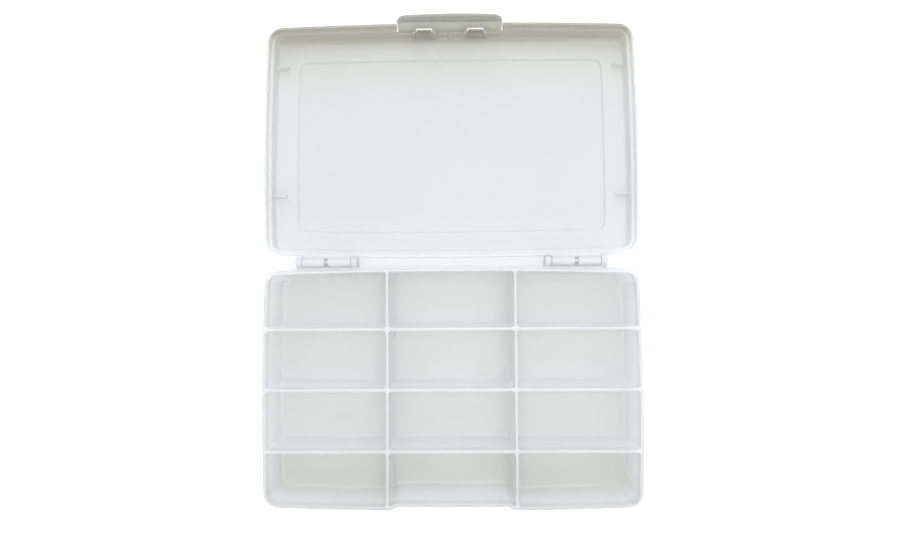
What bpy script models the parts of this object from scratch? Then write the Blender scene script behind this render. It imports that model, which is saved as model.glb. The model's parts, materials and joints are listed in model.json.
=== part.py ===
"""Embroidery thread box: a moulded tray of twelve compartments, a shallow lid on two snap hinges
and a hook latch on the lid's front. Metres, +Z up, the front towards -Y, modelled with the lid
opened flat. Run it with Blender 4.5: blender --background --python part.py"""

import math

import bmesh
import bpy
from mathutils import Matrix, Vector

MM = 0.001

# Plan of the box, shared by the tray and the lid
BODY_WIDTH = 230.0 * MM
BODY_DEPTH = 146.6 * MM
SIDE_BOW = 1.6 * MM  # how far the short sides swell at their middle
END_BOW = 2.2 * MM  # how far the front and back swell at their middle
CORNER_RADIUS = 8.5 * MM
RECESS_WIDTH = 66.0 * MM  # flat bottom of the shallow recess that the latch lies in
RECESS_DEPTH = 2.0 * MM  # at the seam
RECESS_DRAFT = math.radians(2.6)  # by which the recess deepens down the tray's front
RECESS_SLANT = 4.5 * MM
RECESS_RADIUS = 1.4 * MM

# Tray heights and walls
TRAY_HEIGHT = 27.0 * MM  # the seam over the surface that the feet stand on
FOOT_HEIGHT = 1.0 * MM
FLOOR = 1.6 * MM
WALL_DRAFT = math.radians(1.5)
BOTTOM_ROUND = 2.5 * MM
FLANGE = 1.5 * MM  # overhang of the tray's rim
FLANGE_HEIGHT = 2.3 * MM
FLANGE_SLOPE = 0.4 * MM
LIP_INSET = 1.8 * MM  # from the flange's edge to the lip that enters the lid
LIP_RISE = 3.0 * MM
LIP_WALL = 1.3 * MM
EDGE_ROUND = 0.35 * MM

# Dividers
COLUMN_X = 38.5 * MM
ROW_PITCH = 36.3 * MM
ROW_SHIFT = -1.0 * MM  # the middle divider lies a little towards the front
DIVIDER = 1.6 * MM
DIVIDER_DRAFT = math.radians(0.9)
POCKET_RADIUS = 1.6 * MM
POCKET_FILLET = 1.6 * MM

# Lid
LID_HEIGHT = 13.3 * MM  # roof over the seam with the box shut
SEAM = 0.3 * MM
SKIRT_WALL = 1.5 * MM
LEDGE_LAP = 0.5 * MM  # how far the ledge over the tray's lip reaches past it
LID_WALL = 1.4 * MM
LID_ROOF = 1.3 * MM
LID_ROUND = 2.4 * MM
LID_FILLET = 1.2 * MM
PANEL_WIDTH = 196.0 * MM
PANEL_DEPTH = 113.4 * MM
PANEL_SHIFT = 1.0 * MM  # towards the hinges
PANEL_RADIUS = 6.0 * MM
PANEL_RISE = 1.2 * MM
PANEL_EDGE = 0.9 * MM

# Corner feet, which sit round the raised panel of a box below
FOOT_PLAY = 0.7 * MM
FOOT_WIDTH = 1.6 * MM
FOOT_LEG = 15.0 * MM
FOOT_BEND = 5.0 * MM

# Hinges
HINGE_GAP = 2.6 * MM  # from the middle of the back edge to the hinge line
HINGE_SPACING = 150.8 * MM
HINGE_WIDTH = 37.0 * MM
EAR_WIDTH = 3.5 * MM
EAR_RADIUS = 3.1 * MM
BAR_RADIUS = 1.4 * MM
PIN_PLAY = 0.3 * MM
CLIP_WALL = 1.2 * MM
CLIP_SPLIT = 2.4 * MM
CLIP_MOUTH = 2.3 * MM
SHELF_EDGE = 1.5 * MM
SHELF_REACH = 3.0 * MM
GUSSET = 4.0 * MM
ROOT_BITE = 0.8 * MM  # how far an added boss or arm runs into the wall that carries it
STOP_PLAY = 0.3 * MM  # between the opened lid's arms and the shelf that stops them
OPEN_ANGLE = math.radians(181.3)

# Latch
LATCH_WIDTH = 65.6 * MM
LATCH_PLATE = 1.6 * MM
LATCH_PLAY = 0.3 * MM
LATCH_SIDE_PLAY = 0.3 * MM
LATCH_CORNER = 5.0 * MM
LATCH_TOP = -0.4 * MM  # the plate ends under the pivot, so that it swings clear of the lid
PIVOT_HEIGHT = 9.0 * MM  # over the seam with the box shut
PIVOT_INSET = 0.9 * MM  # from the plate's inner face to the pivot
PIVOT_RADIUS = 1.2 * MM
CHEEK_WIDTH = 1.2 * MM
CHEEK_RADIUS = 1.8 * MM
WINDOW_WIDTH = 10.2 * MM
THINNED_DROP = 5.2 * MM  # from the pivot to the end of the thinned place under a window
THINNED_DEPTH = 0.8 * MM
HOOK_WIDTH = 57.0 * MM
HOOK_REACH = 1.1 * MM
HOOK_THICK = 1.4 * MM
LIP_DROP = 5.0 * MM  # finger lip's end under the seam
LIP_FLARE = 0.4 * MM
LIP_BOW = 1.1 * MM
CATCH_PLAY = 0.3 * MM
LATCH_LEAN = math.radians(9.0)  # how far the latch hangs open from its hooked place

# Lugs of the lid that the latch snaps on, and their pockets in the lid's front wall
LUG_SPACING = 32.6 * MM
LUG_WIDTH = 9.4 * MM
LUG_WALL = 0.9 * MM
LUG_MOUTH = 1.9 * MM
POCKET_PLAY = 0.3 * MM
POCKET_WALL = 0.9 * MM
NOTCH_RISE = 6.6 * MM  # over the seam, up to which the lid's front is cut away behind the latch

# Small ribs inside the lid
FIN_REACH = 8.0 * MM
FIN_HEIGHT = 3.6 * MM
FIN_WIDTH = 1.2 * MM
FIN_PLACE_SHARES = (0.338, -0.227)  # of the box's depth, from its middle towards the latch
CENTRE_RIB_WIDTH = 1.8 * MM
CENTRE_RIB_REACH = 2.2 * MM

OVERRUN = 2.0 * MM
ARC_STEPS = 5
SMALL_ARC_STEPS = 3
SIDE_STEPS = 8
ROUND_SIDES = 20
STRAIGHT = 0.9999  # cosine of the bend under which a plan's corner counts as none

# What follows from the sizes above
HALF_WIDTH = BODY_WIDTH / 2 - SIDE_BOW
HALF_DEPTH = BODY_DEPTH / 2 - END_BOW
LEAN = math.tan(WALL_DRAFT)
FLOOR_BOTTOM = FOOT_HEIGHT
FLOOR_TOP = FLOOR_BOTTOM + FLOOR
TRAY_INNER = LIP_INSET + LIP_WALL
LIP_TOP = TRAY_HEIGHT + LIP_RISE
SEAT = TRAY_HEIGHT + SEAM
LEDGE = LIP_TOP + SEAM
SKIRT_TOP = LEDGE + LID_WALL
LID_INNER = TRAY_INNER + LEDGE_LAP
LID_OUTER = LID_INNER - LID_WALL
ROOF_TOP = TRAY_HEIGHT + LID_HEIGHT
ROOF_BOTTOM = ROOF_TOP - LID_ROOF
ROWS = tuple(ROW_SHIFT + k * ROW_PITCH for k in (-1, 0, 1))
HINGE_Y = BODY_DEPTH / 2 + HINGE_GAP
HINGE_Z = TRAY_HEIGHT + SEAM / 2
HINGES = (-HINGE_SPACING / 2, HINGE_SPACING / 2)
CLIP_BORE = BAR_RADIUS + PIN_PLAY
CLIP_RADIUS = CLIP_BORE + CLIP_WALL
SHELF_DROP = CLIP_RADIUS + SHELF_REACH * math.sin(OPEN_ANGLE - math.pi) + STOP_PLAY
FRONT_FACE = -BODY_DEPTH / 2 + RECESS_DEPTH  # flange's edge at the bottom of the recess
LID_FACE = -BODY_DEPTH / 2 + LID_OUTER
LID_BACK = LID_FACE + LID_WALL
PLATE_INNER = FRONT_FACE - LATCH_PLAY
PLATE_OUTER = PLATE_INNER - LATCH_PLATE
PIVOT_Y = PLATE_INNER + PIVOT_INSET
PIVOT_Z = TRAY_HEIGHT + PIVOT_HEIGHT
HOOK_TOP = TRAY_HEIGHT - FLANGE_HEIGHT - FLANGE_SLOPE - CATCH_PLAY
LATCH_TIP = Vector((0, PLATE_OUTER - LIP_FLARE, TRAY_HEIGHT - LIP_DROP))
LUGS = (-LUG_SPACING / 2, LUG_SPACING / 2)
LUG_BORE = PIVOT_RADIUS + PIN_PLAY
LUG_RADIUS = LUG_BORE + LUG_WALL
WINDOW_DROP = math.sqrt((LUG_RADIUS + PIN_PLAY) ** 2 - PIVOT_INSET**2)  # to its lower edge
POCKET_WIDTH = WINDOW_WIDTH + 2 * (CHEEK_WIDTH + POCKET_PLAY)
POCKET_BACK = PIVOT_Y + CHEEK_RADIUS + POCKET_PLAY


def clear_scene():
    for old in list(bpy.data.objects):
        bpy.data.objects.remove(old)


def collection(name):
    made = bpy.data.collections.new(name)
    bpy.context.scene.collection.children.link(made)
    return made


def material(name, colour, roughness, transmission):
    made = bpy.data.materials.new(name)
    made.use_nodes = True
    shader = made.node_tree.nodes["Principled BSDF"]
    shader.inputs["Base Color"].default_value = (*colour, 1.0)
    shader.inputs["Roughness"].default_value = roughness
    shader.inputs["Metallic"].default_value = 0.0
    shader.inputs["Transmission Weight"].default_value = transmission
    return made


def solid(name, home, bm):
    """An object of the finished bmesh, with its faces pointing out."""
    bmesh.ops.recalc_face_normals(bm, faces=bm.faces)
    mesh = bpy.data.meshes.new(name)
    bm.to_mesh(mesh)
    bm.free()
    made = bpy.data.objects.new(name, mesh)
    home.objects.link(made)
    return made


def tool(made):
    """Marks an object as a tool for a Boolean, which is not part of the box."""
    made.hide_render = True
    made.display_type = "WIRE"
    return made


def combine(target, other, operation):
    step = target.modifiers.new(other.name, "BOOLEAN")
    step.operation = operation
    step.solver = "EXACT"
    step.object = other


def add(target, other):
    combine(target, other, "UNION")


def cut(target, other):
    combine(target, other, "DIFFERENCE")


def rounded_path(corners):
    """Points of a closed plan. A corner is (x, y, radius, arc steps, steps on to the next). Where
    the line runs straight on, the corner's points lie along it, so that plans keep their count."""
    points = []
    count = len(corners)
    for k, (x, y, radius, arc_steps, _) in enumerate(corners):
        here = Vector((x, y))
        before = (Vector(corners[k - 1][:2]) - here).normalized()
        after = (Vector(corners[(k + 1) % count][:2]) - here).normalized()
        if before.dot(after) < -STRAIGHT:
            for step in range(arc_steps + 1):
                along = after * radius * (step / arc_steps - 1 / 2)
                points.append((here + along, step == arc_steps))
            continue
        half_angle = before.angle(after) / 2
        centre = here + (before + after).normalized() * (radius / math.sin(half_angle))
        start = here + before * (radius / math.tan(half_angle)) - centre
        end = here + after * (radius / math.tan(half_angle)) - centre
        turn = start.angle_signed(end)
        for step in range(arc_steps + 1):
            spot = start.copy()
            spot.rotate(Matrix.Rotation(-turn * step / arc_steps, 2))
            points.append((centre + spot, step == arc_steps))
    path = []
    arc = 0
    for k, (spot, last) in enumerate(points):
        path.append(spot)
        if last:
            following = points[(k + 1) % len(points)][0]
            splits = corners[arc][4]
            path += [spot.lerp(following, s / splits) for s in range(1, splits)]
            arc += 1
    return path


def share_past(value, start, end):
    return min(max((abs(value) - start) / (end - start), 0.0), 1.0)


def bowed(spot):
    """Swells the outer walls of the plan and leaves the straight dividers where they are."""
    x, y = spot
    swell_x = SIDE_BOW * (1 - (y / HALF_DEPTH) ** 2) * share_past(x, COLUMN_X, HALF_WIDTH)
    swell_y = END_BOW * (1 - (x / HALF_WIDTH) ** 2) * share_past(y, ROW_PITCH, HALF_DEPTH)
    return Vector((x + math.copysign(swell_x, x), y + math.copysign(swell_y, y)))


def body_plan(inset, recess=RECESS_DEPTH):
    """The box's outline, moved in by inset, with the recess in its front."""
    x, y = HALF_WIDTH - inset, HALF_DEPTH - inset
    radius = max(CORNER_RADIUS - inset, POCKET_RADIUS)
    flank = recess_flank(inset, recess)
    corners = [
        (x, -y, radius, ARC_STEPS, SIDE_STEPS),
        (x, y, radius, ARC_STEPS, 2 * SIDE_STEPS),
        (-x, y, radius, ARC_STEPS, SIDE_STEPS),
        (-x, -y, radius, ARC_STEPS, SIDE_STEPS // 2),
        (-flank - RECESS_SLANT, -y, RECESS_RADIUS, SMALL_ARC_STEPS, 1),
        (-flank, -y + recess, RECESS_RADIUS, SMALL_ARC_STEPS, SIDE_STEPS // 2),
        (flank, -y + recess, RECESS_RADIUS, SMALL_ARC_STEPS, 1),
        (flank + RECESS_SLANT, -y, RECESS_RADIUS, SMALL_ARC_STEPS, SIDE_STEPS // 2),
    ]
    return [bowed(spot) for spot in rounded_path(corners)]


def recess_flank(inset, recess):
    """Half the width of the recess's flat bottom on an outline moved in by inset."""
    return RECESS_WIDTH / 2 + inset * math.tan(math.atan2(recess, RECESS_SLANT) / 2)


def recess_at(depth):
    """Depth of the tray's recess at a depth under the seam."""
    return RECESS_DEPTH + max(depth, 0) * math.tan(RECESS_DRAFT)


def panel_plan(inset):
    """The raised panel of the roof, bowed as the walls are."""
    x, y = PANEL_WIDTH / 2 - SIDE_BOW / 2 - inset, PANEL_DEPTH / 2 - END_BOW / 2 - inset
    corners = [
        (sx * x, sy * y, PANEL_RADIUS - inset, ARC_STEPS, SIDE_STEPS)
        for sx, sy in ((1, -1), (1, 1), (-1, 1), (-1, -1))
    ]
    shift = Vector((0, PANEL_SHIFT))
    return [bowed(spot) + shift for spot in rounded_path(corners)]


def cell_plan(column, row, inset, depth):
    """A compartment's outline at a depth under the seam. Row 0 is the front one."""
    wall = TRAY_INNER + depth * LEAN + inset
    divider = DIVIDER / 2 + (depth + LIP_RISE) * math.tan(DIVIDER_DRAFT) + inset
    lines_x = (-HALF_WIDTH, -COLUMN_X, COLUMN_X, HALF_WIDTH)
    lines_y = (-HALF_DEPTH, *ROWS, HALF_DEPTH)
    left = lines_x[column] + (wall if column == 0 else divider)
    right = lines_x[column + 1] - (wall if column == 2 else divider)
    front = lines_y[row] + (wall if row == 0 else divider)
    back = lines_y[row + 1] - (wall if row == 3 else divider)
    corners = []
    for x, y, at_side, at_end in (
        (right, front, column == 2, row == 0),
        (right, back, column == 2, row == 3),
        (left, back, column == 0, row == 3),
        (left, front, column == 0, row == 0),
    ):
        radius = CORNER_RADIUS - TRAY_INNER if at_side and at_end else POCKET_RADIUS
        radius = max(radius - inset, POCKET_RADIUS / 3)
        corners.append((x, y, radius, SMALL_ARC_STEPS, 4))
    if (column, row) == (1, 0):
        corners = behind_recess(corners, wall, depth)
    return [bowed(spot) for spot in rounded_path(corners)]


def behind_recess(corners, wall, depth):
    """Draws the front of the middle front compartment in behind the recess for the latch."""
    recess = recess_at(depth)
    flank = recess_flank(wall, recess)
    side, front, radius, *_ = corners[0]
    start = max(flank + RECESS_SLANT - side, 0) / RECESS_SLANT
    end = (side, front + recess * start, radius / 2, SMALL_ARC_STEPS, 4)
    bend = (flank, front + recess, radius, SMALL_ARC_STEPS, 4)
    mirrored = [(-x, *rest) for x, *rest in (bend, end)]
    return [end, *corners[1:3], mirrored[1], mirrored[0], bend]


def lofted(name, home, sections):
    """A solid through plans of equal counts, each (plan, height)."""
    bm = bmesh.new()
    loops = [[bm.verts.new((x, y, z)) for x, y in plan] for plan, z in sections]
    for low, high in zip(loops, loops[1:]):
        for k in range(len(low)):
            following = (k + 1) % len(low)
            bm.faces.new((low[k], low[following], high[following], high[k]))
    bm.faces.new(loops[0])
    bm.faces.new(loops[-1])
    return solid(name, home, bm)


def quarter_round(radius, steps):
    """Shares of a rounded edge as (inset, height), from the flat face round to the wall."""
    turns = [math.pi / 2 * k / steps for k in range(steps + 1)]
    return [(radius * (1 - math.sin(t)), radius * (1 - math.cos(t))) for t in turns]


def extruded(name, home, profiles, spans):
    """Solids along X, joined in one object: each profile of (y, z) over each (start, end)."""
    bm = bmesh.new()
    for profile in profiles:
        for start, end in spans:
            face = bm.faces.new([bm.verts.new((start, y, z)) for y, z in profile])
            pushed = bmesh.ops.extrude_face_region(bm, geom=[face])
            moved = [v for v in pushed["geom"] if isinstance(v, bmesh.types.BMVert)]
            bmesh.ops.translate(bm, verts=moved, vec=(end - start, 0, 0))
    return solid(name, home, bm)


def cylinders(name, home, radius, y, z, spans):
    """Round bars along X, joined in one object."""
    bm = bmesh.new()
    for start, end in spans:
        place = Matrix.Translation(((start + end) / 2, y, z)) @ Matrix.Rotation(math.pi / 2, 4, "Y")
        bmesh.ops.create_cone(
            bm,
            cap_ends=True,
            segments=ROUND_SIDES,
            radius1=radius,
            radius2=radius,
            depth=end - start,
            matrix=place,
        )
    return solid(name, home, bm)


def spans_at(centres, offset, width):
    """(start, end) along X of pieces of one width at an offset from each centre."""
    return [(c + offset - width / 2, c + offset + width / 2) for c in centres]


def arc_points(radius, start, end, steps, y, z):
    turns = [start + (end - start) * k / steps for k in range(steps + 1)]
    return [(y + radius * math.cos(t), z + radius * math.sin(t)) for t in turns]


def mouth(name, home, bore, width, reach, direction, y, z, spans):
    """Cutter for the open side of a snap clip, from the bore out in a direction in the YZ plane."""
    along = Vector((math.cos(direction), math.sin(direction)))
    across = Vector((-along.y, along.x)) * (width / 2)
    centre = Vector((y, z))
    far = centre + along * (bore + reach)
    profile = [tuple(p) for p in (centre - across, far - across, far + across, centre + across)]
    return extruded(name, home, [profile], spans)


def back_edge(x):
    return bowed((x, HALF_DEPTH)).y


def tray_body(home):
    """The outside of the tray: rounded bottom edge, drafted walls, a flange and the lip on it."""
    side = TRAY_HEIGHT - FLANGE_HEIGHT - FLANGE_SLOPE
    sections = []
    for inset, rise in quarter_round(BOTTOM_ROUND, SMALL_ARC_STEPS):
        depth = TRAY_HEIGHT - FLOOR_BOTTOM - rise
        plan = body_plan(FLANGE + LEAN * depth + inset, recess_at(depth))
        sections.append((plan, TRAY_HEIGHT - depth))
    depth = TRAY_HEIGHT - side
    sections += [
        (body_plan(FLANGE + LEAN * depth, recess_at(depth)), side),
        (body_plan(0), side + FLANGE_SLOPE),
        (body_plan(0), TRAY_HEIGHT - EDGE_ROUND),
        (body_plan(EDGE_ROUND), TRAY_HEIGHT),
        (body_plan(LIP_INSET), TRAY_HEIGHT),
        (body_plan(LIP_INSET), LIP_TOP - EDGE_ROUND),
        (body_plan(LIP_INSET + EDGE_ROUND), LIP_TOP),
    ]
    return lofted("tray", home, sections)


def compartment_cores(home):
    """Twelve drafted cores with round corners and filleted feet, joined in one cutter."""
    cores = []
    bottom = TRAY_HEIGHT - FLOOR_TOP
    for column in range(3):
        for row in range(4):
            sections = []
            for inset, rise in quarter_round(POCKET_FILLET, SMALL_ARC_STEPS):
                depth = bottom - rise
                sections.append((cell_plan(column, row, inset, depth), TRAY_HEIGHT - depth))
            if (column, row) == (1, 0):
                sections.append((cell_plan(column, row, 0, 0), TRAY_HEIGHT))
            top = LIP_RISE + OVERRUN
            sections.append((cell_plan(column, row, 0, -top), TRAY_HEIGHT + top))
            cores.append(lofted(f"core_{column}_{row}", home, sections))
    return joined("compartment_cores", home, cores)


def joined(name, home, pieces):
    """One object of several that do not touch."""
    bm = bmesh.new()
    for piece in pieces:
        bm.from_mesh(piece.data)
        bpy.data.objects.remove(piece)
    return solid(name, home, bm)


def tray_root():
    """How far the hinge brackets reach from the hinge line into the tray's back wall."""
    return HINGE_Y - back_edge(HINGE_SPACING / 2) + FLANGE + ROOT_BITE


def at_hinge(profile):
    return [(HINGE_Y + y, HINGE_Z + z) for y, z in profile]


def hinge_ear_profile():
    """Ear of the tray's hinge bracket, from the wall round the hinge line and back on a gusset."""
    start = math.pi + math.asin(SEAM / EAR_RADIUS)
    profile = arc_points(EAR_RADIUS, start, -math.pi / 4, 2 * ARC_STEPS, 0, 0)
    profile += [
        (SHELF_REACH, -SHELF_DROP),
        (SHELF_REACH, -SHELF_DROP - SHELF_EDGE),
        (-tray_root(), -SHELF_DROP - SHELF_EDGE - GUSSET),
        (-tray_root(), -SEAM),
    ]
    return at_hinge(profile)


def hinge_shelf_profile():
    """Saddle round the clips' outside, from the wall, and the shelf that stops their arms."""
    radius = CLIP_RADIUS + PIN_PLAY
    start = math.pi + math.asin(SEAM / radius)
    profile = arc_points(radius, start, 3 * math.pi / 2, ARC_STEPS, 0, 0)
    profile += [
        (0, -SHELF_DROP),
        (SHELF_REACH, -SHELF_DROP),
        (SHELF_REACH, -SHELF_DROP - SHELF_EDGE),
        (-tray_root(), -SHELF_DROP - SHELF_EDGE - GUSSET),
        (-tray_root(), -SEAM),
    ]
    return at_hinge(profile)


def tray_hinges(tray, home):
    """Brackets with two ears each, a shelf between them and the bar that the lid snaps on."""
    ears = []
    for side in (-1, 1):
        ears += spans_at(HINGES, side * (HINGE_WIDTH - EAR_WIDTH) / 2, EAR_WIDTH)
    between = spans_at(HINGES, 0, HINGE_WIDTH - EAR_WIDTH)
    add(tray, tool(extruded("hinge_ears", home, [hinge_ear_profile()], ears)))
    add(tray, tool(extruded("hinge_shelves", home, [hinge_shelf_profile()], between)))
    add(tray, tool(cylinders("hinge_bars", home, BAR_RADIUS, HINGE_Y, HINGE_Z, between)))


def corner_feet(home):
    """Four L-shaped ribs with rounded bends under the floor's corners."""
    reach_x = PANEL_WIDTH / 2 + FOOT_PLAY
    reach_y = PANEL_DEPTH / 2 + FOOT_PLAY
    feet = []
    for sx in (-1, 1):
        for sy in (-1, 1):
            bend = []
            for radius in (FOOT_BEND, FOOT_BEND - FOOT_WIDTH):
                turns = [math.pi / 2 * k / SMALL_ARC_STEPS for k in range(SMALL_ARC_STEPS + 1)]
                arc = [(radius * math.cos(t), radius * math.sin(t)) for t in turns]
                leg = FOOT_LEG - FOOT_BEND
                arc = [(radius, -leg)] + arc + [(-leg, radius)]
                bend.append(arc)
            strip = bend[0] + bend[1][::-1]
            centre_x = reach_x + FOOT_WIDTH - FOOT_BEND
            centre_y = reach_y + FOOT_WIDTH - FOOT_BEND
            plan = [(sx * (centre_x + x), sy * (centre_y + y) + PANEL_SHIFT) for x, y in strip]
            sections = [(plan, 0), (plan, FLOOR_BOTTOM + FLOOR / 2)]
            feet.append(lofted("foot", home, sections))
    return joined("corner_feet", home, feet)


def build_tray(parts, tools):
    tray = tray_body(parts)
    add(tray, tool(corner_feet(tools)))
    tray_hinges(tray, tools)
    cut(tray, tool(compartment_cores(tools)))
    return tray


def lid_body(home):
    """The outside of the shut lid: skirt round the tray's lip, wall and rounded roof."""
    sections = [
        (body_plan(EDGE_ROUND, 0), SEAT),
        (body_plan(0, 0), SEAT + EDGE_ROUND),
        (body_plan(0, 0), SKIRT_TOP - EDGE_ROUND),
        (body_plan(EDGE_ROUND, 0), SKIRT_TOP),
        (body_plan(LID_OUTER, 0), SKIRT_TOP),
    ]
    for inset, fall in reversed(quarter_round(LID_ROUND, SMALL_ARC_STEPS)):
        height = ROOF_TOP - fall
        inset += LID_OUTER + LEAN * (height - SKIRT_TOP)
        sections.append((body_plan(inset, 0), height))
    return lofted("lid", home, sections)


def lid_core(home):
    """The inside of the lid: the skirt's rebate, the ledge, the wall and a fillet round the roof."""
    sections = [
        (body_plan(SKIRT_WALL, 0), SEAT - OVERRUN),
        (body_plan(SKIRT_WALL, 0), LEDGE),
        (body_plan(LID_INNER, 0), LEDGE),
    ]
    for inset, fall in reversed(quarter_round(LID_FILLET, SMALL_ARC_STEPS)):
        height = ROOF_BOTTOM - fall
        inset += LID_INNER + LEAN * (height - LEDGE)
        sections.append((body_plan(inset, 0), height))
    return lofted("lid_core", home, sections)


def roof_panel(home):
    """Raised panel of the roof with a slanted edge."""
    sections = [
        (panel_plan(0), ROOF_TOP - LID_ROOF / 2),
        (panel_plan(0), ROOF_TOP),
        (panel_plan(PANEL_EDGE), ROOF_TOP + PANEL_RISE),
    ]
    return lofted("roof_panel", home, sections)


def roof_panel_core(home):
    sections = [
        (panel_plan(LID_ROOF / 2), ROOF_BOTTOM - LID_ROOF / 2),
        (panel_plan(LID_ROOF / 2), ROOF_BOTTOM),
        (panel_plan(LID_ROOF / 2 + PANEL_EDGE), ROOF_BOTTOM + PANEL_RISE),
    ]
    return lofted("roof_panel_core", home, sections)


def lid_root():
    """How far the clips' arms reach from the hinge line into the lid's skirt."""
    return HINGE_Y - back_edge(HINGE_SPACING / 2) + ROOT_BITE


def clip_profile():
    """Arm and ring of the lid's snap clip, with the box shut."""
    start = -math.pi - math.asin(SEAM / CLIP_RADIUS)
    profile = arc_points(CLIP_RADIUS, start, math.pi / 2, 3 * ARC_STEPS, 0, 0)
    profile += [(-lid_root(), CLIP_RADIUS), (-lid_root(), SEAM)]
    return at_hinge(profile)


def clip_bridge_profile():
    """Web that joins the arms of a hinge's two clips."""
    end = CLIP_BORE + PIN_PLAY
    profile = [(-end, SEAM), (-end, CLIP_RADIUS), (-lid_root(), CLIP_RADIUS), (-lid_root(), SEAM)]
    return at_hinge(profile)


def lid_clips(lid, home):
    """Two split clips on each hinge, which snap round the tray's bar."""
    inside = HINGE_WIDTH - 2 * EAR_WIDTH - 2 * PIN_PLAY
    width = (inside - CLIP_SPLIT) / 2
    places = []
    for side in (-1, 1):
        places += spans_at(HINGES, side * (CLIP_SPLIT + width) / 2, width)
    bores = spans_at(HINGES, 0, HINGE_WIDTH)
    bridges = spans_at(HINGES, 0, 2 * width)
    add(lid, tool(extruded("lid_clips", home, [clip_profile()], places)))
    add(lid, tool(extruded("clip_bridges", home, [clip_bridge_profile()], bridges)))
    cut(lid, tool(cylinders("clip_bores", home, CLIP_BORE, HINGE_Y, HINGE_Z, bores)))
    open_side = mouth(
        "clip_mouths",
        home,
        CLIP_BORE,
        CLIP_MOUTH,
        CLIP_RADIUS,
        math.pi / 4,
        HINGE_Y,
        HINGE_Z,
        bores,
    )
    cut(lid, tool(open_side))


def at_pivot(profile):
    return [(PIVOT_Y + y, PIVOT_Z + z) for y, z in profile]


def block(front, back, low, high):
    """Rectangle in the YZ plane as a profile."""
    return [(front, low), (back, low), (back, high), (front, high)]


def latch_lugs(lid, home):
    """Room for the latch: a notch in the lid's front, and two pockets with a lug out of each."""
    notch_width = LATCH_WIDTH + 2 * LATCH_SIDE_PLAY
    outside = -BODY_DEPTH / 2 - OVERRUN
    low = SEAT - OVERRUN
    notch = block(outside, LID_BACK + OVERRUN, low, TRAY_HEIGHT + NOTCH_RISE)
    top = ROOF_TOP - LID_ROOF / 2
    bulge = block(LID_FACE + LID_WALL / 2, POCKET_BACK + POCKET_WALL, SKIRT_TOP, top)
    pocket_top = PIVOT_Z + LUG_RADIUS + POCKET_PLAY
    pocket = block(outside, POCKET_BACK, low, pocket_top)
    turn = math.pi / 2
    lug = arc_points(LUG_RADIUS, turn, 3 * turn, 2 * ARC_STEPS, 0, 0)
    root = POCKET_BACK - PIVOT_Y + POCKET_WALL / 2
    lug += [(root, -LUG_RADIUS), (root, LUG_RADIUS)]
    bulges = spans_at(LUGS, 0, POCKET_WIDTH + 2 * POCKET_WALL)
    places = spans_at(LUGS, 0, LUG_WIDTH)
    bores = spans_at(LUGS, 0, LUG_WIDTH + PIN_PLAY)
    cut(lid, tool(extruded("latch_notch", home, [notch], spans_at((0,), 0, notch_width))))
    add(lid, tool(extruded("lug_bulges", home, [bulge], bulges)))
    cut(lid, tool(extruded("lug_pockets", home, [pocket], spans_at(LUGS, 0, POCKET_WIDTH))))
    add(lid, tool(extruded("latch_lugs", home, [at_pivot(lug)], places)))
    cut(lid, tool(cylinders("lug_bores", home, LUG_BORE, PIVOT_Y, PIVOT_Z, bores)))
    open_side = mouth(
        "lug_mouths",
        home,
        LUG_BORE,
        LUG_MOUTH,
        LUG_RADIUS,
        3 * math.pi / 4,
        PIVOT_Y,
        PIVOT_Z,
        bores,
    )
    cut(lid, tool(open_side))


def lid_ribs(lid, home):
    """Four low fins at the side walls' feet and a rib behind the middle of the latch."""
    top = ROOF_TOP - LID_ROOF / 2
    low = TRAY_HEIGHT + NOTCH_RISE
    rib = block(LID_BACK - LID_WALL / 2, LID_BACK + CENTRE_RIB_REACH, low, top)
    add(lid, tool(extruded("centre_rib", home, [rib], spans_at((0,), 0, CENTRE_RIB_WIDTH))))
    fins, spans = [], []
    for share in FIN_PLACE_SHARES:
        y = -share * BODY_DEPTH
        fins.append(block(y - FIN_WIDTH / 2, y + FIN_WIDTH / 2, ROOF_BOTTOM - FIN_HEIGHT, top))
    reach = BODY_WIDTH / 2 - LID_INNER
    for side in (-1, 1):
        ends = (side * (reach - FIN_REACH), side * (reach + LID_WALL / 2))
        spans.append((min(ends), max(ends)))
    add(lid, tool(extruded("lid_fins", home, fins, spans)))


def build_lid(parts, tools):
    lid = lid_body(parts)
    add(lid, tool(roof_panel(tools)))
    cut(lid, tool(lid_core(tools)))
    cut(lid, tool(roof_panel_core(tools)))
    lid_clips(lid, tools)
    latch_lugs(lid, tools)
    lid_ribs(lid, tools)
    return lid


def plate_profile():
    """Side view of the shut latch's plate, from its top down to the flared finger lip."""
    top = PIVOT_Z + LATCH_TOP
    flare = HOOK_TOP - HOOK_THICK
    tip = LATCH_TIP.z - LIP_BOW
    return [
        (PLATE_INNER, top),
        (PLATE_INNER, flare),
        (PLATE_INNER - LIP_FLARE, tip),
        (LATCH_TIP.y, tip),
        (PLATE_OUTER, flare),
        (PLATE_OUTER, top),
    ]


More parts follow.
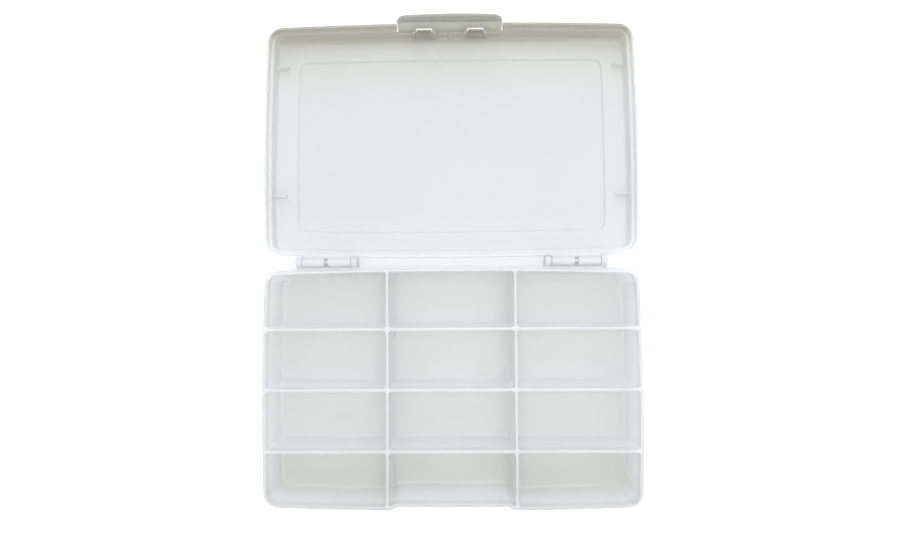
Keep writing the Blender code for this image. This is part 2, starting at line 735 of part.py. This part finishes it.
def latch_outline(home):
    """Front view of the latch as a block: round corners and a bowed edge at the finger lip."""
    half = LATCH_WIDTH / 2
    low, high = LATCH_TIP.z, PIVOT_Z + LATCH_TOP + OVERRUN
    corners = [
        (half, low, LATCH_CORNER, ARC_STEPS, 1),
        (half, high, LATCH_PLATE, ARC_STEPS, 1),
        (-half, high, LATCH_PLATE, ARC_STEPS, 1),
        (-half, low, LATCH_CORNER, ARC_STEPS, SIDE_STEPS),
    ]
    bm = bmesh.new()
    near, far = LATCH_TIP.y - OVERRUN, PLATE_INNER + OVERRUN
    ring = []
    for x, z in rounded_path(corners):
        sag = LIP_BOW * (1 - (x / half) ** 2) * (1 - share_past(z - low, 0, LATCH_CORNER))
        ring.append(bm.verts.new((x, near, z - sag)))
    pushed = bmesh.ops.extrude_face_region(bm, geom=[bm.faces.new(ring)])
    moved = [v for v in pushed["geom"] if isinstance(v, bmesh.types.BMVert)]
    bmesh.ops.translate(bm, verts=moved, vec=(0, far - near, 0))
    return solid("latch_outline", home, bm)


def latch_hook(home):
    profile = [
        (PLATE_INNER - LATCH_PLATE / 2, HOOK_TOP),
        (PLATE_INNER + HOOK_REACH, HOOK_TOP),
        (PLATE_INNER + HOOK_REACH, HOOK_TOP - HOOK_THICK / 2),
        (PLATE_INNER - LATCH_PLATE / 2, HOOK_TOP - HOOK_THICK),
    ]
    return extruded("latch_hook", home, [profile], spans_at((0,), 0, HOOK_WIDTH))


def cheek_profile():
    """Cheek beside a window, round the pivot and down to the plate."""
    root = -PIVOT_INSET - LATCH_PLATE / 2
    profile = arc_points(CHEEK_RADIUS, -math.pi / 2, 3 * math.pi / 4, 2 * ARC_STEPS, 0, 0)
    profile += [(root, LATCH_TOP - LATCH_PLATE / 2), (root, -WINDOW_DROP)]
    return at_pivot(profile)


def build_latch(parts, tools):
    """Plate with two windows open at its top, thinned under them, with cheeks and a bar at each."""
    latch = extruded("latch", parts, [plate_profile()], spans_at((0,), 0, LATCH_WIDTH))
    combine(latch, tool(latch_outline(tools)), "INTERSECT")
    add(latch, tool(latch_hook(tools)))
    window = block(
        PLATE_OUTER - OVERRUN, PLATE_INNER + OVERRUN, PIVOT_Z - WINDOW_DROP, PIVOT_Z + OVERRUN
    )
    thinned = block(
        PLATE_INNER - THINNED_DEPTH, PLATE_INNER + OVERRUN, PIVOT_Z - THINNED_DROP, PIVOT_Z
    )
    openings = spans_at(LUGS, 0, WINDOW_WIDTH)
    cut(latch, tool(extruded("windows", tools, [window], openings)))
    cut(latch, tool(extruded("thinned_places", tools, [thinned], openings)))
    cheeks = []
    for side in (-1, 1):
        cheeks += spans_at(LUGS, side * (WINDOW_WIDTH + CHEEK_WIDTH) / 2, CHEEK_WIDTH)
    add(latch, tool(extruded("cheeks", tools, [cheek_profile()], cheeks)))
    bars = spans_at(LUGS, 0, WINDOW_WIDTH + CHEEK_WIDTH)
    add(latch, tool(cylinders("latch_bars", tools, PIVOT_RADIUS, PIVOT_Y, PIVOT_Z, bars)))
    return latch


def axis_empty(name, home, place, parent):
    """An empty on a joint's axis. Its place is given with the box shut."""
    made = bpy.data.objects.new(name, None)
    made.empty_display_size = HINGE_WIDTH / 2
    home.objects.link(made)
    made.parent = parent
    made.location = place
    return made


def hang(pieces, axis, place):
    """Puts shut pieces under an empty on their axis, with their own origins on it."""
    for piece in pieces:
        piece.data.transform(Matrix.Translation(-place))
        piece.parent = axis


def opened(place):
    """Where a point of the shut lid lies with the lid opened."""
    hinge = Vector((0, HINGE_Y, HINGE_Z))
    return hinge + Matrix.Rotation(-OPEN_ANGLE, 3, "X") @ (place - hinge)


def hung(place):
    """Where a point of the hooked latch lies on the shut lid once the latch hangs open."""
    pivot = Vector((0, PIVOT_Y, PIVOT_Z))
    return pivot + Matrix.Rotation(-LATCH_LEAN, 3, "X") @ (place - pivot)


def main():
    clear_scene()
    parts = collection("embroidery_thread_box")
    tools = collection("cutters")

    built = set()
    tray = build_tray(parts, tools)
    tray_tools = set(tools.objects) - built
    built |= tray_tools
    lid = build_lid(parts, tools)
    lid_tools = set(tools.objects) - built
    built |= lid_tools
    latch = build_latch(parts, tools)
    latch_tools = set(tools.objects) - built

    front = max(-spot.y for spot in body_plan(0))
    back = opened(hung(LATCH_TIP - Vector((0, 0, LIP_BOW)))).y
    centre = Vector((0, (front - back) / 2, 0))
    hinge_place = Vector((0, HINGE_Y, HINGE_Z))
    pivot_place = Vector((0, PIVOT_Y, PIVOT_Z))
    root = axis_empty("box_centre", parts, centre, None)
    hinge = axis_empty("lid_hinge_axis", parts, hinge_place, root)
    pivot = axis_empty("latch_pivot_axis", parts, pivot_place - hinge_place, hinge)
    hinge.rotation_euler.x = -OPEN_ANGLE
    pivot.rotation_euler.x = -LATCH_LEAN
    for piece in {tray} | tray_tools:
        piece.parent = root
    hang({lid} | lid_tools, hinge, hinge_place)
    hang({latch} | latch_tools, pivot, pivot_place)

    frosted = (0.86, 0.87, 0.85)
    for piece, roughness in ((tray, 0.32), (lid, 0.3), (latch, 0.36)):
        piece.data.materials.append(material(f"{piece.name}_polypropylene", frosted, roughness, 0.6))
        piece.data.shade_smooth()
        piece.data.set_sharp_from_angle(angle=math.radians(30.0))


main()
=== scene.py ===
"""Looks of the embroidery thread box: milky moulded plastic, a pale floor, soft studio light and a
camera straight above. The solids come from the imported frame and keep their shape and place."""

import json
import math
from typing import NamedTuple

import bmesh
import bpy
from mathutils import Matrix, Vector


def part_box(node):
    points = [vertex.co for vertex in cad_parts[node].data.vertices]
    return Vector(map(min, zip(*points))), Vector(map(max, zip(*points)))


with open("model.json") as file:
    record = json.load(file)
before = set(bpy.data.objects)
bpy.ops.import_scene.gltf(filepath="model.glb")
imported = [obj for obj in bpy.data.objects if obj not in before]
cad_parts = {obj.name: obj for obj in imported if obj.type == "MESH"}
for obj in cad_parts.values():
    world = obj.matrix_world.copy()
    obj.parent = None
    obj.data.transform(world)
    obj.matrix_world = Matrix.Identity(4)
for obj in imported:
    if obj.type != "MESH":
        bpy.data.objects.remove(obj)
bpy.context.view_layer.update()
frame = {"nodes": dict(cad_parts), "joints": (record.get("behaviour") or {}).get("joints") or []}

MM = 0.001
WHITE = (1.0, 1.0, 1.0)

# Sizes of the box that the camera's place is measured from
BODY_DEPTH = 146.6 * MM
HINGE_GAP = 2.6 * MM
SEAM = 0.3 * MM

# Camera over the middle of the tray's rim, and its small tilts in radians
CAMERA_OFFSET = Vector((4.0, 61.1, 320.0)) * MM
CAMERA_PITCH = -0.0356
CAMERA_YAW = -0.0144
CAMERA_ROLL = 0.0070
PHOTO_WIDTH_PX = 900
FOCAL_LENGTH_PX = 528.45
SENSOR_WIDTH = 36.0  # in millimetres, as the camera's own setting is

# Light: lamps in watts, each placed from the middle of the box at the height of the tray's rim
WORLD_COLOUR = (0.95, 0.97, 1.0)
WORLD_STRENGTH = 0.77
KEY_COLOUR = (0.84, 0.93, 1.0)
KEY_POWER = 6.5
KEY_OFFSET = Vector((0.05, 1.15, 0.95))
KEY_SIZE = 0.9
FILL_COLOUR = (1.0, 0.95, 0.82)
FILL_POWER = 3.0
FILL_OFFSET = Vector((0.1, -1.1, 0.9))
FILL_SIZE = 0.8
TOP_COLOUR = (1.0, 0.99, 0.96)
TOP_POWER = 1.6
TOP_OFFSET = Vector((0.05, 0.02, 0.75))
TOP_SIZE = 0.6

# Floor, just under the feet
FLOOR_SIZE = 4.0
FLOOR_DROP = 0.1 * MM
FLOOR_COLOUR = (0.82, 0.82, 0.82)
FLOOR_GLOW = 0.5

# Plastic of all three pieces
PLASTIC_IOR = 1.49
PLASTIC_ALPHA = 0.66
SCATTER_WEIGHT = 0.6
SCATTER_SHARES = (1.0, 1.0, 1.0)  # of the depth, for red, green and blue
SCATTER_DEPTH = 3.0 * MM
EDGE_RADIUS = 0.25 * MM
EDGE_SAMPLES = 4

# Flow clouds and grain: scales are per metre, and ranges are of the noise's own values
CLOUD_SCALE = 26.0
CLOUD_DETAIL = 3.0
CLOUD_RANGE = (0.3, 0.7)
GLOSS_SPREAD = 0.04
GRAIN_SCALE = 1400.0
GRAIN_DETAIL = 2.0
GRAIN_HEIGHT = 0.02 * MM

# Scuffs, in patches, stretched along the way they run
SCUFF_SCALE = 24.0
SCUFF_DETAIL = 1.0
SCUFF_THINNESS = 42.0
SCUFF_TURN = math.radians(50.0)
SCUFF_RANGE = (0.66, 0.80)
PATCH_SCALE = 11.0
PATCH_DETAIL = 0.0
PATCH_RANGE = (0.50, 0.62)
SCUFF_STRENGTH = 0.15
SCUFF_DULLING = 0.10

# Each piece's darker and lighter colour, and its roughness
TRAY_COLOURS = ((0.93, 0.94, 0.945), (0.95, 0.96, 0.97))
TRAY_ROUGHNESS = 0.36
LID_COLOURS = ((0.92, 0.935, 0.94), (0.94, 0.955, 0.965))
LID_ROUGHNESS = 0.34
# The latch is the lid's plastic in painted shade: darker, olive colours
LATCH_SHADED_COLOURS = ((0.52, 0.52, 0.43), (0.56, 0.56, 0.48))
LATCH_ROUGHNESS = 0.36

# Painted shade: tints that darken and warm parts of each piece where less light reaches them, and
# where each starts and ends
EVEN = 1.0  # fall of a tint that grows evenly
# Painted shade on the compartments' floors, a little darker and warmer than the walls
FLOOR_SHADE_TINT = (0.97, 0.96, 0.93)
FLOOR_TINT_HEIGHTS = (5.0 * MM, 1.2 * MM)  # over what the box stands on
# Painted shade that greys the tray's rim top
RIM_SHADE_TINT = (0.86, 0.865, 0.87)
RIM_TINT_DROPS = (4.0 * MM, 1.0 * MM)  # under the tray's rim
# Painted shade that grows towards the tray's front, where less light falls
FRONT_SHADE_TINT = (0.83, 0.83, 0.81)
FRONT_TINT_INSETS = (65.4 * MM, 0.4 * MM)  # from the tray's front
FRONT_TINT_FALL = 2.5
# Painted shade over the lid, which grows from the hinges outwards
PANEL_SHADE_TINT = (0.815, 0.81, 0.80)
PANEL_TINT_REACHES = (0.5 * MM, 31.5 * MM)  # from the hinge line over the lid
PANEL_TINT_FALL = 0.5
# Painted shade, greyer and warmer, towards the lid's far wall and latch
FAR_SHADE_TINT = (0.74, 0.725, 0.615)
FAR_TINT_REACH = 100.0 * MM  # from the latch's pivot back over the lid
FAR_TINT_FALL = 5.0
# Painted shadow along the foot of the lid's far wall
FAR_WALL_SHADOW_TINT = (0.74, 0.735, 0.71)
FAR_WALL_TINT_INSETS = (6.0 * MM, 2.5 * MM)  # from the latch's pivot
# Painted shade on the latch's finger lip
LIP_SHADE_TINT = (0.57, 0.57, 0.57)
LIP_TINT_DROPS = (6.0 * MM, 4.6 * MM)  # under the latch's top


class Shade(NamedTuple):
    """A tint that grows along one axis of the object, from the span's first place to its second.
    The higher its fall, the later it grows."""

    axis: str
    span: tuple
    fall: float
    tint: tuple


def aimed(position, target):
    """World matrix at a position that looks at the target along its own -Z."""
    direction = (target - position).normalized()
    return Matrix.Translation(position) @ direction.to_track_quat("-Z", "Y").to_matrix().to_4x4()


def add_camera(rim_middle):
    """The photo's camera, which looks down on the box with small tilts."""
    data = bpy.data.cameras.new("photo_camera")
    data.sensor_width = SENSOR_WIDTH
    data.lens = FOCAL_LENGTH_PX * SENSOR_WIDTH / PHOTO_WIDTH_PX
    camera = bpy.data.objects.new("photo_camera", data)
    bpy.context.scene.collection.objects.link(camera)
    turn = Matrix.Rotation(CAMERA_ROLL, 3, "Z") @ Matrix.Rotation(CAMERA_YAW, 3, "Y")
    turn = turn @ Matrix.Rotation(CAMERA_PITCH, 3, "X")
    place = rim_middle + CAMERA_OFFSET
    camera.matrix_world = Matrix.Translation(place) @ turn.transposed().to_4x4()
    bpy.context.scene.camera = camera


def add_lamp(name, target, offset, size, power, colour):
    """A round soft lamp that looks at the target."""
    data = bpy.data.lights.new(name, "AREA")
    data.shape = "DISK"
    data.size = size
    data.energy = power
    data.color = colour
    lamp = bpy.data.objects.new(name, data)
    bpy.context.scene.collection.objects.link(lamp)
    lamp.matrix_world = aimed(target + offset, target)


def seen_directly(nodes, links):
    """1 for rays of the camera, mirrors and glass, and 0 for rays that carry light."""
    path = nodes.new("ShaderNodeLightPath")
    first = nodes.new("ShaderNodeMath")
    first.operation = "MAXIMUM"
    links.new(path.outputs["Is Camera Ray"], first.inputs[0])
    links.new(path.outputs["Is Glossy Ray"], first.inputs[1])
    second = nodes.new("ShaderNodeMath")
    second.operation = "MAXIMUM"
    links.new(first.outputs[0], second.inputs[0])
    links.new(path.outputs["Is Transmission Ray"], second.inputs[1])
    return second.outputs[0]


def set_world():
    """Pale light all round, plain white where it is seen directly."""
    world = bpy.data.worlds.new("studio")
    world.use_nodes = True
    bpy.context.scene.world = world
    nodes, links = world.node_tree.nodes, world.node_tree.links
    light = nodes["Background"]
    light.inputs["Color"].default_value = (*WORLD_COLOUR, 1.0)
    light.inputs["Strength"].default_value = WORLD_STRENGTH
    white = nodes.new("ShaderNodeBackground")
    white.inputs["Color"].default_value = (*WHITE, 1.0)
    white.inputs["Strength"].default_value = 1.0
    mix = nodes.new("ShaderNodeMixShader")
    links.new(seen_directly(nodes, links), mix.inputs["Fac"])
    links.new(light.outputs["Background"], mix.inputs[1])
    links.new(white.outputs["Background"], mix.inputs[2])
    links.new(mix.outputs["Shader"], nodes["World Output"].inputs["Surface"])


def floor_material():
    """White to the camera, with the object's shadow on it."""
    made = bpy.data.materials.new("studio_floor")
    made.use_nodes = True
    nodes, links = made.node_tree.nodes, made.node_tree.links
    nodes.remove(nodes["Principled BSDF"])
    paper = nodes.new("ShaderNodeBsdfDiffuse")
    paper.inputs["Color"].default_value = (*FLOOR_COLOUR, 1.0)
    glow = nodes.new("ShaderNodeEmission")
    glow.inputs["Strength"].default_value = FLOOR_GLOW
    lit = nodes.new("ShaderNodeAddShader")
    links.new(paper.outputs["BSDF"], lit.inputs[0])
    links.new(glow.outputs["Emission"], lit.inputs[1])
    mix = nodes.new("ShaderNodeMixShader")
    links.new(seen_directly(nodes, links), mix.inputs["Fac"])
    links.new(paper.outputs["BSDF"], mix.inputs[1])
    links.new(lit.outputs["Shader"], mix.inputs[2])
    links.new(mix.outputs["Shader"], nodes["Material Output"].inputs["Surface"])
    return made


def add_floor():
    bm = bmesh.new()
    bmesh.ops.create_grid(bm, x_segments=1, y_segments=1, size=FLOOR_SIZE / 2)
    mesh = bpy.data.meshes.new("studio_floor")
    bm.to_mesh(mesh)
    bm.free()
    mesh.materials.append(floor_material())
    floor = bpy.data.objects.new("studio_floor", mesh)
    floor.location.z = -FLOOR_DROP
    bpy.context.scene.collection.objects.link(floor)


def noise(nodes, links, position, scale, detail):
    """The value of a soft noise at a position."""
    texture = nodes.new("ShaderNodeTexNoise")
    texture.inputs["Scale"].default_value = scale
    texture.inputs["Detail"].default_value = detail
    links.new(position, texture.inputs["Vector"])
    return texture.outputs["Fac"]


def ranged(nodes, links, value, span, low=0.0, high=1.0):
    """Takes the value's span to low and high, and holds it there outside the span."""
    scaled = nodes.new("ShaderNodeMapRange")
    scaled.inputs["From Min"].default_value, scaled.inputs["From Max"].default_value = span
    scaled.inputs["To Min"].default_value = low
    scaled.inputs["To Max"].default_value = high
    links.new(value, scaled.inputs["Value"])
    return scaled.outputs["Result"]


def milky_plastic(name, colours, roughness, shades):
    """Moulded polypropylene: flow clouds in colour and gloss, painted shade tints, faint scuffs, a
    fine grain and softened edges."""
    dark, light = colours
    made = bpy.data.materials.new(name)
    made.use_nodes = True
    nodes, links = made.node_tree.nodes, made.node_tree.links
    shader = nodes["Principled BSDF"]
    shader.inputs["IOR"].default_value = PLASTIC_IOR
    shader.inputs["Alpha"].default_value = PLASTIC_ALPHA
    shader.inputs["Subsurface Weight"].default_value = SCATTER_WEIGHT
    shader.inputs["Subsurface Radius"].default_value = SCATTER_SHARES
    shader.inputs["Subsurface Scale"].default_value = SCATTER_DEPTH
    position = nodes.new("ShaderNodeTexCoord").outputs["Object"]
    clouds = noise(nodes, links, position, CLOUD_SCALE, CLOUD_DETAIL)
    colour = nodes.new("ShaderNodeMix")
    colour.data_type = "RGBA"
    colour.inputs["A"].default_value = (*dark, 1.0)
    colour.inputs["B"].default_value = (*light, 1.0)
    links.new(ranged(nodes, links, clouds, CLOUD_RANGE), colour.inputs["Factor"])
    tint = colour.outputs["Result"]
    for shade in shades:
        tint = shaded(nodes, links, tint, position, shade)
    scuff = scuffs(nodes, links, position)
    links.new(scuffed(nodes, links, tint, scuff), shader.inputs["Base Color"])
    shiny, dull = roughness - GLOSS_SPREAD, roughness + GLOSS_SPREAD
    gloss = ranged(nodes, links, clouds, CLOUD_RANGE, shiny, dull)
    links.new(dulled(nodes, links, gloss, scuff), shader.inputs["Roughness"])
    links.new(grained(nodes, links, position), shader.inputs["Normal"])
    return made


def shaded(nodes, links, tint, position, shade):
    """Multiplies the colour by a shade's tint, as far as the shade has grown."""
    split = nodes.new("ShaderNodeSeparateXYZ")
    links.new(position, split.inputs["Vector"])
    fall = nodes.new("ShaderNodeMath")
    fall.operation = "POWER"
    links.new(ranged(nodes, links, split.outputs[shade.axis], shade.span), fall.inputs[0])
    fall.inputs[1].default_value = shade.fall
    multiply = nodes.new("ShaderNodeMix")
    multiply.data_type = "RGBA"
    multiply.blend_type = "MULTIPLY"
    links.new(fall.outputs["Value"], multiply.inputs["Factor"])
    links.new(tint, multiply.inputs["A"])
    multiply.inputs["B"].default_value = (*shade.tint, 1.0)
    return multiply.outputs["Result"]


def scuffs(nodes, links, position):
    """Sparse hairline scratches that run one way over the surface, 1 on a scratch."""
    turned = nodes.new("ShaderNodeMapping")
    turned.inputs["Rotation"].default_value = (0.0, 0.0, SCUFF_TURN)
    stretched = nodes.new("ShaderNodeMapping")
    stretched.inputs["Scale"].default_value = (1.0, SCUFF_THINNESS, 1.0)
    links.new(position, turned.inputs["Vector"])
    links.new(turned.outputs["Vector"], stretched.inputs["Vector"])
    lines = noise(nodes, links, stretched.outputs["Vector"], SCUFF_SCALE, SCUFF_DETAIL)
    patches = noise(nodes, links, position, PATCH_SCALE, PATCH_DETAIL)
    both = nodes.new("ShaderNodeMath")
    both.operation = "MULTIPLY"
    links.new(ranged(nodes, links, lines, SCUFF_RANGE), both.inputs[0])
    links.new(ranged(nodes, links, patches, PATCH_RANGE), both.inputs[1])
    return both.outputs["Value"]


def scuffed(nodes, links, tint, scuff):
    """Whitens the colour a little along the scratches."""
    amount = nodes.new("ShaderNodeMath")
    amount.operation = "MULTIPLY"
    links.new(scuff, amount.inputs[0])
    amount.inputs[1].default_value = SCUFF_STRENGTH
    whiten = nodes.new("ShaderNodeMix")
    whiten.data_type = "RGBA"
    links.new(amount.outputs["Value"], whiten.inputs["Factor"])
    links.new(tint, whiten.inputs["A"])
    whiten.inputs["B"].default_value = (*WHITE, 1.0)
    return whiten.outputs["Result"]


def dulled(nodes, links, gloss, scuff):
    """Roughens the surface a little along the scratches."""
    rougher = nodes.new("ShaderNodeMath")
    rougher.operation = "MULTIPLY_ADD"
    links.new(scuff, rougher.inputs[0])
    rougher.inputs[1].default_value = SCUFF_DULLING
    links.new(gloss, rougher.inputs[2])
    return rougher.outputs["Value"]


def grained(nodes, links, position):
    """A fine moulded grain over softened edges."""
    edges = nodes.new("ShaderNodeBevel")
    edges.samples = EDGE_SAMPLES
    edges.inputs["Radius"].default_value = EDGE_RADIUS
    bump = nodes.new("ShaderNodeBump")
    bump.inputs["Distance"].default_value = GRAIN_HEIGHT
    links.new(noise(nodes, links, position, GRAIN_SCALE, GRAIN_DETAIL), bump.inputs["Height"])
    links.new(edges.outputs["Normal"], bump.inputs["Normal"])
    return bump.outputs["Normal"]


def tray_plastic(rim_z):
    """Painted shade: warmer at the compartments' floors, and greyer at the rim and towards the
    front.
    """
    lowest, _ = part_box("tray")
    floor_span = tuple(lowest.z + height for height in FLOOR_TINT_HEIGHTS)
    rim_span = tuple(rim_z - drop for drop in RIM_TINT_DROPS)
    front_span = tuple(lowest.y + inset for inset in FRONT_TINT_INSETS)
    shades = [
        Shade("Z", floor_span, EVEN, FLOOR_SHADE_TINT),
        Shade("Z", rim_span, EVEN, RIM_SHADE_TINT),
        Shade("Y", front_span, FRONT_TINT_FALL, FRONT_SHADE_TINT),
    ]
    return milky_plastic("tray_plastic", TRAY_COLOURS, TRAY_ROUGHNESS, shades)


def lid_plastic(hinge_y, latch_y):
    """Painted shade: lightest at the hinges, and greyer and warmer towards the far wall with its
    latch, with a painted shadow at that wall's foot.
    """
    panel_span = tuple(hinge_y + reach for reach in PANEL_TINT_REACHES)
    far_span = (latch_y - FAR_TINT_REACH, latch_y)
    far_wall_span = tuple(latch_y - inset for inset in FAR_WALL_TINT_INSETS)
    shades = [
        Shade("Y", panel_span, PANEL_TINT_FALL, PANEL_SHADE_TINT),
        Shade("Y", far_span, FAR_TINT_FALL, FAR_SHADE_TINT),
        Shade("Y", far_wall_span, EVEN, FAR_WALL_SHADOW_TINT),
    ]
    return milky_plastic("lid_plastic", LID_COLOURS, LID_ROUGHNESS, shades)


def latch_plastic():
    """Painted shade all over, darker still at the finger lip."""
    _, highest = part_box("latch")
    lip_span = tuple(highest.z - drop for drop in LIP_TINT_DROPS)
    shades = [Shade("Z", lip_span, EVEN, LIP_SHADE_TINT)]
    return milky_plastic("latch_plastic", LATCH_SHADED_COLOURS, LATCH_ROUGHNESS, shades)


def dress(name, finish):
    """Gives all of a node's material slots one finish."""
    for slot in frame["nodes"][name].material_slots:
        slot.material = finish


places = {joint["name"]: joint["pos_m"] for joint in frame["joints"]}
_, hinge_y, hinge_z = places["lid_hinge"]
latch_y = places["latch_hinge"][1]
rim_middle = Vector((0.0, hinge_y - BODY_DEPTH / 2 - HINGE_GAP, hinge_z - SEAM / 2))
box_middle = Vector((0.0, 0.0, rim_middle.z))

bpy.context.scene.view_settings.view_transform = "Standard"
add_camera(rim_middle)
set_world()
add_floor()
add_lamp("key_lamp", box_middle, KEY_OFFSET, KEY_SIZE, KEY_POWER, KEY_COLOUR)
add_lamp("fill_lamp", box_middle, FILL_OFFSET, FILL_SIZE, FILL_POWER, FILL_COLOUR)
add_lamp("top_lamp", box_middle, TOP_OFFSET, TOP_SIZE, TOP_POWER, TOP_COLOUR)

dress("tray", tray_plastic(rim_middle.z))
dress("lid", lid_plastic(hinge_y, latch_y))
dress("latch", latch_plastic())
